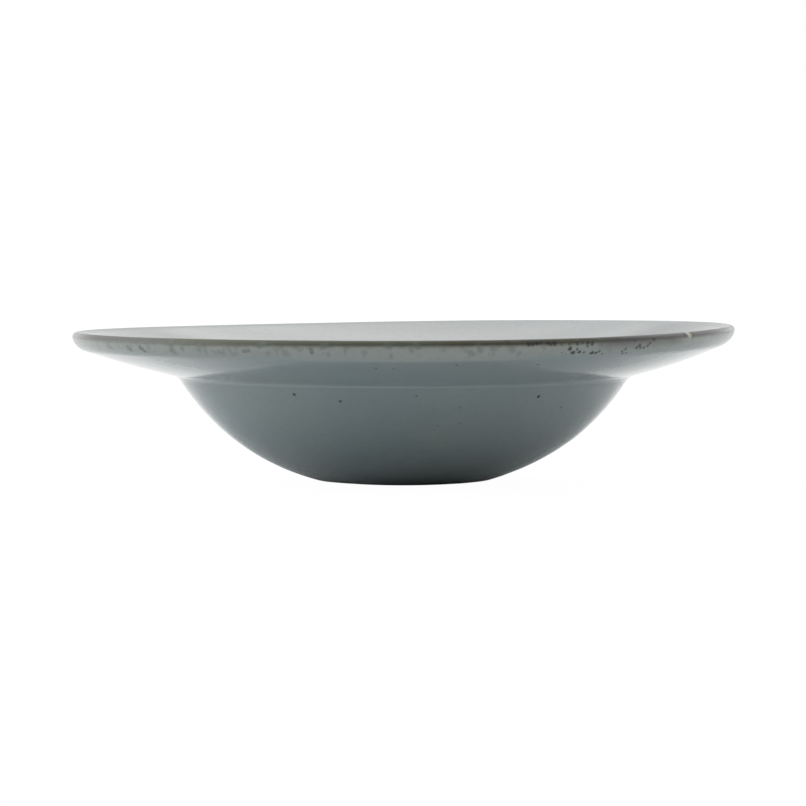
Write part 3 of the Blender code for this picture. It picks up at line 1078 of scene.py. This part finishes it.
def edge_crystals(finish, place):
    """Small dark crystals and dashes: those of the front, and some crystals in patches at the back."""
    x, y, z = finish.split(finish.place)
    patches = finish.ramp(finish.noise(CRYSTAL_PATCH_SIZE, 1.0, finish.around(1.0)), *CRYSTAL_PATCHES)
    band = finish.within(finish.run, *CRYSTAL_BAND)
    dots = finish.scattered(CRYSTAL_SPACING, CRYSTAL_WIDTH, CRYSTAL_SHARE, place)
    back = finish.product(dots, patches, finish.ramp(y, *CRYSTAL_FADE), band)
    front = [(turn, run * MILLI, width * MILLI, darkness) for turn, run, width, darkness in CRYSTALS]
    return finish.most((back, finish.marks(front, place), finish.strokes(EDGE_DASHES, place)))


def edge_finish():
    """The lip: a dark line and olive at the edge, with drips and crystals below it, and one chip."""
    finish = Finish("edge_finish")
    colour = glaze_colour(finish)
    shaken = finish.shaken(*EDGE_SHAKE)
    colour = finish.mix(finish.math("MULTIPLY", edge_drips(finish), DRIP_DARKNESS), colour, DRIP)
    line = finish.product(finish.within(finish.run, *EDGE_LINE), edge_strength(finish, *EDGE_LINE_FRONT))
    colour = finish.mix(finish.math("MULTIPLY", line, EDGE_LINE_DARKNESS), colour, LINE)
    # Painted shade in the thin band all round, and the broad grey glaze band on the right
    colour = finish.mix(edge_grey_and_shade(finish), colour, LINE)
    olive = edge_olive(finish)
    colour = finish.mix(olive, colour, olive_colour(finish))
    colour = finish.mix(finish.strokes(DRIPS, shaken), colour, DRIP)
    colour = finish.mix(edge_crystals(finish, shaken), colour, IRON)
    chip = finish.marks(((CHIP_TURN, CHIP_RUN, CHIP_WIDTH, 1.0),), shaken)
    colour = finish.mix(chip, colour, CHIP_CLAY)
    soft = finish.ramp(finish.run, *LIP_SOFTNESS)
    dry = finish.math("MULTIPLY", finish.most((olive, line)), EDGE_DULLNESS)
    dull = finish.most((soft, dry, finish.math("MULTIPLY", chip, CHIP_DULLNESS)))
    return glossy(finish, colour, finish.math("ADD", gloss(finish), dull))


def clay_finish():
    """Bare fired clay: gritty, with fine rings from the trimming tool."""
    finish = Finish("clay_finish")
    tone = finish.ramp(finish.noise(CLAY_TONE_SIZE, 5.0), *NOISE_SPREAD)
    colour = finish.mix(tone, CLAY_DARK, CLAY_PALE)
    grit = finish.scattered(GRIT_SPACING, GRIT_WIDTH, GRIT_SHARE, finish.place)
    colour = finish.mix(grit, colour, CLAY_GRIT)
    x, y, z = finish.split(finish.place)
    square = finish.math("ADD", finish.math("POWER", x, 2.0), finish.math("POWER", y, 2.0))
    radius = finish.math("SQRT", square)
    rings = finish.math("SINE", finish.math("MULTIPLY", radius, math.tau / RING_STEP))
    height = finish.math("MULTIPLY_ADD", rings, RING_SHARE, finish.noise(GRAIN_SIZE, 4.0))
    finish.put(finish.shader.inputs["Base Color"], colour)
    finish.shader.inputs["Roughness"].default_value = CLAY_ROUGHNESS
    finish.bump(height, CLAY_RELIEF)
    return finish.material


def build_plate():
    add_piece("face_coat", face_mesh("face_coat"), plain_finish("face_finish"), "face_glaze")
    add_piece("lip_coat", lip_mesh("lip_coat"), edge_finish(), "edge_glaze")
    add_piece("outer_coat", outer_mesh("outer_coat"), back_finish(), "back_glaze")
    add_piece("base_coat", base_mesh("base_coat"), plain_finish("base_finish"), "base_glaze")
    add_piece("clay", clay_mesh("clay"), clay_finish(), "clay_body")


def build_floor():
    """A white floor, which the camera sees brighter than it is, so that only soft shade shows on it."""
    bpy.ops.mesh.primitive_circle_add(vertices=FLOOR_SIDES, radius=FLOOR_RADIUS, fill_type="NGON")
    floor = bpy.context.object
    floor.name = "floor"
    finish = Finish("floor_finish")
    finish.shader.inputs["Base Color"].default_value = FLOOR_WHITE
    finish.shader.inputs["Roughness"].default_value = FLOOR_ROUGHNESS
    glow = finish.new("ShaderNodeEmission")
    glow.inputs["Strength"].default_value = FLOOR_GLOW
    seen = finish.new("ShaderNodeLightPath").outputs["Is Camera Ray"]
    blend = finish.new("ShaderNodeMixShader")
    finish.put(blend.inputs[0], finish.math("MULTIPLY", seen, FLOOR_GLOW_SHARE))
    finish.put(blend.inputs[1], finish.shader.outputs[0])
    finish.put(blend.inputs[2], glow.outputs[0])
    finish.put(finish.tree.nodes["Material Output"].inputs["Surface"], blend.outputs[0])
    floor.data.materials.append(finish.material)


def build_light():
    """A sky of soft patches of light, which the camera itself sees as plain white."""
    world = bpy.data.worlds.new("studio")
    bpy.context.scene.world = world
    world.use_nodes = True
    nodes = Nodes(world.node_tree)
    x, y, z = nodes.split(nodes.new("ShaderNodeTexCoord").outputs["Generated"])
    elevation = nodes.math("MULTIPLY", nodes.math("ARCSINE", z), DEGREES)
    azimuth = nodes.math("MULTIPLY", nodes.math("ARCTAN2", x, y), DEGREES)
    total = 0.0
    for middle, half_width, low, high, strength in SOFT_LIGHTS:
        across = strength
        if half_width < ALL_ROUND:
            aside = nodes.math("WRAP", nodes.math("SUBTRACT", azimuth, middle), ALL_ROUND, -ALL_ROUND)
            near, far = half_width - LIGHT_SOFT_SIDES, half_width + LIGHT_SOFT_SIDES
            across = nodes.ramp(nodes.math("ABSOLUTE", aside), near, far, strength, 0.0)
        up = nodes.within(elevation, low, high, LIGHT_SOFT_ENDS)
        total = nodes.math("MULTIPLY_ADD", across, up, total)
    seen = nodes.new("ShaderNodeLightPath").outputs["Is Camera Ray"]
    background = world.node_tree.nodes["Background"]
    background.inputs["Color"].default_value = (1.0, 1.0, 1.0, 1.0)
    white = nodes.new("ShaderNodeMix")
    nodes.put(white.inputs[0], seen)
    nodes.put(white.inputs[2], total)
    nodes.put(white.inputs[3], 1.0)
    nodes.put(background.inputs["Strength"], white.outputs[0])


def build_camera():
    camera = bpy.data.cameras.new("camera")
    camera.sensor_width = SENSOR_WIDTH
    camera.lens = FOCAL_PIXELS / PHOTO_PIXELS * SENSOR_WIDTH
    eye = bpy.data.objects.new("camera", camera)
    eye.location = CAMERA_PLACE
    eye.rotation_euler = (math.radians(90.0) - CAMERA_PITCH, 0.0, 0.0)
    bpy.context.scene.collection.objects.link(eye)
    bpy.context.scene.camera = eye


build_plate()
build_floor()
build_light()
build_camera()
bpy.context.scene.view_settings.view_transform = "Standard"
